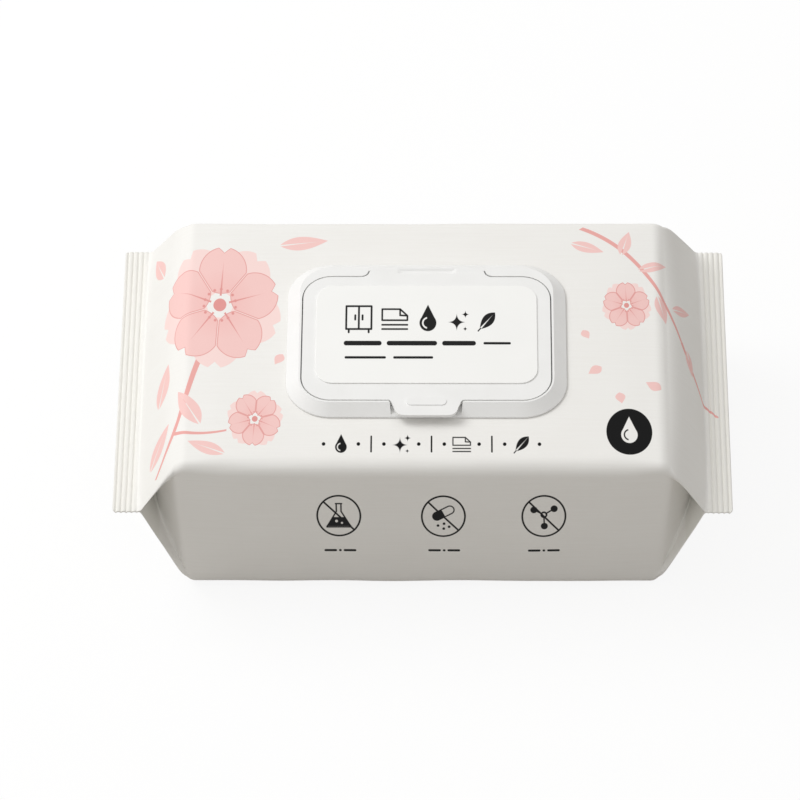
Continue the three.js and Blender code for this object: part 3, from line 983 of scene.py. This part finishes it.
# Dispenser: the frame and the lid, one white moulding with a thin web where it bends
dispenser = {
    "middle": (1.3, -0.5),  # mm
    "hingeY": 29.75,
    "hingeTop": 72.7,
    "edgeWidth": 0.2,
    "lineZone": 0.25,  # edges this near the hinge line stay sharp, so that the web can close the cut
    "webHalfLength": 20.6,
    "webHalfWidth": 1.15,
    "webThickness": 0.3,
    "webSink": 0.015,  # below the top of the moulding
    "webBendReach": 0.5,  # it bends this far to either side of the hinge line
    "slotHalfLength": 10.4,
    "slotDepth": 0.45,
    "slotEnds": (-1.2, 0.2),  # where the web rises at the slot's ends
    "dipDepth": 0.4,  # the shallow hollow that the slot lies in
    "dipHalfWidth": 1.4,
    "dipCuts": (0.45, 0.6, 0.8, 1),  # shares of its half width
    "dipEnds": (-0.6, 0.8),
    "dipFlatShare": 0.35,  # of its half width, before it rises
    "topZone": 0.35,  # only points this near the top sink
    "tone": colour(242, 242, 241),
    "lowTone": colour(233, 233, 231),
    "finish": {
        "roughness": 0.34, "roughnessSpread": 0.14, "gloss": 0.4,
        "bumpStrength": 0.25, "bumpDepth": 0.03,
    },
}


def softenedCopy(node, edgeWidth, segments=2):
    # the node's own solid, merged, with its sharp edges rounded
    bm = bmesh.new()
    bm.from_mesh(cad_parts[node].data)
    bmesh.ops.scale(bm, vec=(1 / mm, 1 / mm, 1 / mm), verts=bm.verts)
    bmesh.ops.remove_doubles(bm, verts=bm.verts, dist=0.002)
    bmesh.ops.dissolve_limit(bm, angle_limit=math.radians(0.5), verts=bm.verts, edges=bm.edges)
    sharp = [
        edge for edge in bm.edges
        if edge.is_manifold and edge.calc_face_angle() > math.radians(roundedAngle)
        and not onHingeLine(edge)
    ]
    bmesh.ops.bevel(
        bm, geom=sharp, offset=edgeWidth, offset_type="OFFSET", affect="EDGES", segments=segments,
        profile=0.5, clamp_overlap=True, material=-1,
    )
    return bm


def onHingeLine(edge):
    values = dispenser
    middle = (edge.verts[0].co + edge.verts[1].co) / 2
    near = abs(middle.y - values["hingeY"]) < values["lineZone"]
    beyondSlot = abs(middle.x - values["middle"][0]) > values["slotHalfLength"]
    return near and beyondSlot and middle.z > values["hingeTop"] - 0.1


def sinkHinge(bm):  # hollows the top along the slot, between the cuts made here
    values = dispenser
    centreX = values["middle"][0]
    cuts = []
    for side in (-1, 1):
        for share in values["dipCuts"]:
            y = values["hingeY"] + side * share * values["dipHalfWidth"]
            cuts.append(((0, y, 0), (0, 1, 0)))
        for past in values["dipEnds"]:
            x = centreX + side * (values["slotHalfLength"] + past)
            cuts.append(((x, 0, 0), (1, 0, 0)))
    for point, normal in cuts:
        geometry = bm.verts[:] + bm.edges[:] + bm.faces[:]
        bmesh.ops.bisect_plane(bm, geom=geometry, dist=0.001, plane_co=point, plane_no=normal)
    for vert in bm.verts:
        fromEnd = abs(vert.co.x - centreX) - values["slotHalfLength"]
        fromLine = abs(vert.co.y - values["hingeY"]) / values["dipHalfWidth"]
        if abs(vert.co.z - values["hingeTop"]) < values["topZone"]:
            fall = 1 - smooth(*values["dipEnds"], fromEnd)
            fall *= 1 - smooth(values["dipFlatShare"], 1, fromLine)
            vert.co.z -= values["dipDepth"] * fall


def objectPoint(tree):  # in mm
    metres = tree.nodes.new("ShaderNodeTexCoord").outputs["Object"]
    return [calc(tree, "DIVIDE", value, mm) for value in split(tree, metres)[:2]]


def makePlasticMaterial():
    material, tree, shader = startMaterial("white_moulding")
    grain = useGroup(tree, grainGroup, objectPoint(tree), Fine=5.0, Broad=0.09)
    shade = mottle(tree, grain["Shade"], 0.4, 1.5)
    tone = blendColours(tree, shade, dispenser["tone"], dispenser["lowTone"])
    finishMaterial(tree, shader, dispenser["finish"], tone, grain["Shade"], grain["Height"])
    return material


plastic = makePlasticMaterial()
mouldings = ("frame_moulding", "lid_frame", "pack"), ("flap_moulding", "flip_lid", "lid")
for name, node, body in mouldings:
    copy = softenedCopy(node, dispenser["edgeWidth"])
    sinkHinge(copy)
    print(name, len(copy.faces), "faces", sum(not edge.is_manifold for edge in copy.edges), "open")
    finishPiece(copy, name, body, [node], plastic, evenNormals=True)


def makeWeb():
    values = dispenser
    bm = bmesh.new()
    bmesh.ops.create_grid(bm, x_segments=60, y_segments=12, size=1)
    for vert in bm.verts:
        x = vert.co.x * values["webHalfLength"]
        fromEnd = abs(x) - values["slotHalfLength"]
        low = values["webSink"] + values["slotDepth"] * (1 - smooth(*values["slotEnds"], fromEnd))
        y = vert.co.y * values["webHalfWidth"]
        vert.co = (values["middle"][0] + x, values["hingeY"] + y, values["hingeTop"] - low)
    bmesh.ops.solidify(bm, geom=bm.faces[:], thickness=values["webThickness"])
    bmesh.ops.recalc_face_normals(bm, faces=bm.faces)
    web = finishPiece(bm, "hinge_web", None, [], plastic)
    bend = Vector((0, values["webBendReach"], 0))
    line = Vector((values["middle"][0], values["hingeY"], values["hingeTop"]))
    start = (line + bend) * mm
    end = (line - bend) * mm
    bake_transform(web, "pack", "lid", start, end)


makeWeb()
print("dispenser moulded")


# Labels: the printed panel on the lid, and the peel-back seal under it
labelLook = {
    "edgeWidth": 0.3,
    "printMiddle": (1.3, -0.85),  # mm
    "pictograms": [  # middle, size and shape
        ((-24.5, 5.6), 1.2, drawCabinet), ((-11.5, 5.6), 1.2, drawSheets),
        ((0.5, 5.6), 1.2, drawDrop), ((11.5, 4.7), 0.95, drawSparkle), ((22, 4.7), 0.95, drawLeaf),
    ],
    "bars": [  # width, then the ends of each
        (1.7, [(-29, -3.4, -17, -3.4), (-13.5, -3.4, 3, -3.4), (6.5, -3.4, 17, -3.4)]),
        (0.9, [(21, -3.4, 30, -3.4), (-29, -8.6, -15, -8.6), (-11.5, -8.6, 2, -8.6)]),
    ],
    "tone": colour(248, 248, 246),
    "lowTone": colour(243, 243, 241),
    "ink": colour(6, 6, 6),
    "finish": {
        "roughness": 0.38, "roughnessSpread": 0.12, "gloss": 0.18,
        "bumpStrength": 0.2, "bumpDepth": 0.02,
    },
}


def makeLabelMaterial():
    look = labelLook
    material, tree, shader = startMaterial("printed_label")
    point = objectPoint(tree)
    grain = useGroup(tree, grainGroup, point, Fine=2.4, Broad=0.05)
    tone = blendColours(tree, mottle(tree, grain["Shade"], 0.4, 1.5), look["tone"], look["lowTone"])
    local = place(tree, point, look["printMiddle"], 0, (1, filmLook["stretch"]))
    kept, keep = collector(tree)
    for middle, size, draw in look["pictograms"]:
        keep("ink", draw(tree, place(tree, local, middle, 0, (size, size))))
    for width, lines in look["bars"]:
        keep("ink", bars(tree, local, width, *lines))
    tone = blendColours(tree, softMask(tree, kept["ink"]), tone, look["ink"])
    finishMaterial(tree, shader, look["finish"], tone, grain["Shade"], grain["Height"])
    return material


label = softenedCopy("lid_label", labelLook["edgeWidth"], segments=3)
labelMaterial = makeLabelMaterial()
finishPiece(
    label, "lid_panel_label", "lid", ["lid_label"], labelMaterial, evenNormals=True
)


peelSeal = {
    "tabStart": 24.0,  # mm, where the pull tab leaves the sticker
    "tabRise": 0.035,
    "curlCuts": 10,
    "curlPitch": 0.7,
    "cutHalfLength": 19.0,  # the die-cut opening of the film under it
    "cutHalfDepth": 6.5,
    "cutLine": 0.22,
    "tone": colour(225, 229, 234),
    "lowTone": colour(214, 219, 226),
    "line": colour(170, 178, 190),
    "edgeWidth": 0.06,
    "finish": {
        "roughness": 0.2, "roughnessSpread": 0.16, "gloss": 0.5,
        "bumpStrength": 0.4, "bumpDepth": 0.08,
    },
}


def makeSealMaterial():
    look = peelSeal
    material, tree, shader = startMaterial("seal_sticker")
    point = objectPoint(tree)
    grain = useGroup(tree, grainGroup, point, Fine=1.6, Broad=0.12)
    tone = blendColours(tree, mottle(tree, grain["Shade"], 0.35, 1.6), look["tone"], look["lowTone"])
    local = place(tree, point, dispenser["middle"])
    straight = look["cutHalfLength"] - look["cutHalfDepth"]
    opening = useGroup(tree, barGroup, local, Length=straight, Width=look["cutHalfDepth"])
    line = calc(tree, "SUBTRACT", look["cutLine"], calc(tree, "ABSOLUTE", opening["Depth"]))
    arrow = bars(tree, local, 0.7, (24.6, 0, 28, 0), (28, 0, 26.6, 1.4), (28, 0, 26.6, -1.4))
    marks = softMask(tree, highest(tree, (line, arrow)))
    tone = blendColours(tree, marks, tone, look["line"])
    relief = calc(tree, "SUBTRACT", calc(tree, "MULTIPLY", grain["Height"], 0.6), marks)
    finishMaterial(tree, shader, look["finish"], tone, grain["Shade"], relief)
    return material


def makeSeal():
    values = peelSeal
    bm = softenedCopy("peel_seal", values["edgeWidth"])
    start = dispenser["middle"][0] + values["tabStart"]
    for step in range(values["curlCuts"]):  # lines along which the pull tab can curl up
        geometry = bm.verts[:] + bm.edges[:] + bm.faces[:]
        cut = (start + values["curlPitch"] * step, 0, 0)
        bmesh.ops.bisect_plane(bm, geom=geometry, dist=0.001, plane_co=cut, plane_no=(1, 0, 0))
    for vert in bm.verts:
        past = max(vert.co.x - start, 0)
        vert.co.z += values["tabRise"] * past * past
    finishPiece(bm, "peel_sticker", "pack", ["peel_seal"], makeSealMaterial())


makeSeal()
print("labels placed")
